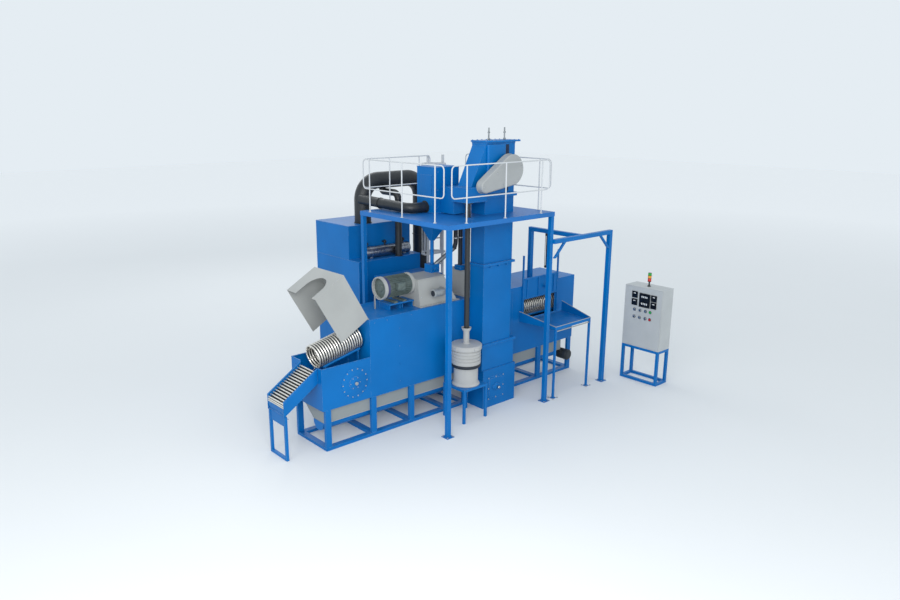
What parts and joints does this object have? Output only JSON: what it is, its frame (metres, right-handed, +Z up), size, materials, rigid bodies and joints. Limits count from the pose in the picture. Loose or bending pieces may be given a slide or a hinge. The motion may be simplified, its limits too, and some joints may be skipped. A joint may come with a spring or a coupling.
{
  "type": "shot blasting machine",
  "caption": "Through-feed shot blasting machine with open discharge trough, hinged hood, bucket elevator, platform, dust collector, feed gate and control cabinet.",
  "frame": {"origin": "on the floor, under the middle of the base frame's middle cross rail", "axes": "+X along the machine from the discharge chute to the feed end, +Y from the operator's side to the dust collector, +Z up"},
  "size_m": [7.2453, 4.6, 4.81],
  "materials": {
    "grey_paint": "semi-gloss light grey paint",
    "blue_paint": "semi-gloss blue paint",
    "white_paint": "semi-gloss off-white paint",
    "steel": "worn bare steel",
    "black": "matt black paint",
    "cabinet_grey": "fine textured light grey paint"
  },
  "bodies": {
    "machine": {"air_box": "blue_paint", "back_handrail": "white_paint", "base_frame": "blue_paint", "base_posts": "blue_paint", "belt_guard": "grey_paint", "blast_chamber": "blue_paint", "cabinet_case": "cabinet_grey", "cabinet_stand": "blue_paint", "chute_stand": "blue_paint", "collector_base": "blue_paint", "collector_body": "blue_paint", "discharge_chute": "blue_paint", "discharge_trough": "blue_paint", "elevator_boot": "blue_paint", "elevator_casing": "blue_paint", "elevator_head": "blue_paint", "feed_hose": "black", "feed_housing": "blue_paint", "feed_rollers": "blue_paint", "feed_tray": "blue_paint", "front_bearing": "blue_paint", "front_handrail": "white_paint", "front_wheel_housing": "grey_paint", "front_wheel_motor": "grey_paint", "gate_cylinder": "black", "gate_guides": "blue_paint", "head_cover": "blue_paint", "header_tank": "steel", "hood_hinge": "steel", "hopper": "grey_paint", "ladder": "white_paint", "left_handrail": "white_paint", "main_duct": "black", "outlet_rollers": "blue_paint", "platform_columns": "blue_paint", "platform_deck": "blue_paint", "portal_frame": "blue_paint", "pot_stool": "blue_paint", "reject_pipe": "black", "reject_pot": "white_paint", "right_handrail": "white_paint", "screw_motor": "black", "screw_trough": "grey_paint", "second_wheel_housing": "grey_paint", "second_wheel_motor": "grey_paint", "separator": "blue_paint", "separator_inlet": "blue_paint", "shot_hopper": "blue_paint", "stack_light": "black", "tray_legs": "blue_paint"},
    "hood": {"hood": "grey_paint"},
    "outlet_drum": {"outlet_drum": "steel"},
    "feed_drum": {"feed_drum": "steel"},
    "gate": {"gate_panel": "blue_paint", "gate_rod": "steel"},
    "cabinet_door": {"cabinet_door": "cabinet_grey"}
  },
  "joints": [
    {"name": "hood_hinge", "type": "hinge", "parent": "machine", "child": "hood", "pos_m": [-2.065, -0.005, 1.9513], "axis": [0, 1, 0], "range_deg": [-60, 15]},
    {"name": "outlet_drum_spin", "type": "hinge", "parent": "machine", "child": "outlet_drum", "pos_m": [-2.895, -0.08, 1.435], "axis": [0.9744, 0, 0.225], "continuous": true},
    {"name": "feed_drum_spin", "type": "hinge", "parent": "machine", "child": "feed_drum", "pos_m": [1.375, -0.08, 1.435], "axis": [1, 0, 0], "continuous": true},
    {"name": "gate_slide", "type": "slide", "parent": "machine", "child": "gate", "axis": [0, 0, 1], "range_m": [-0.36, 0.17]},
    {"name": "cabinet_door_hinge", "type": "hinge", "parent": "machine", "child": "cabinet_door", "pos_m": [3.332, -1.374, 1.27], "axis": [0, 0, -1], "range_deg": [0, 90]}
  ]
}
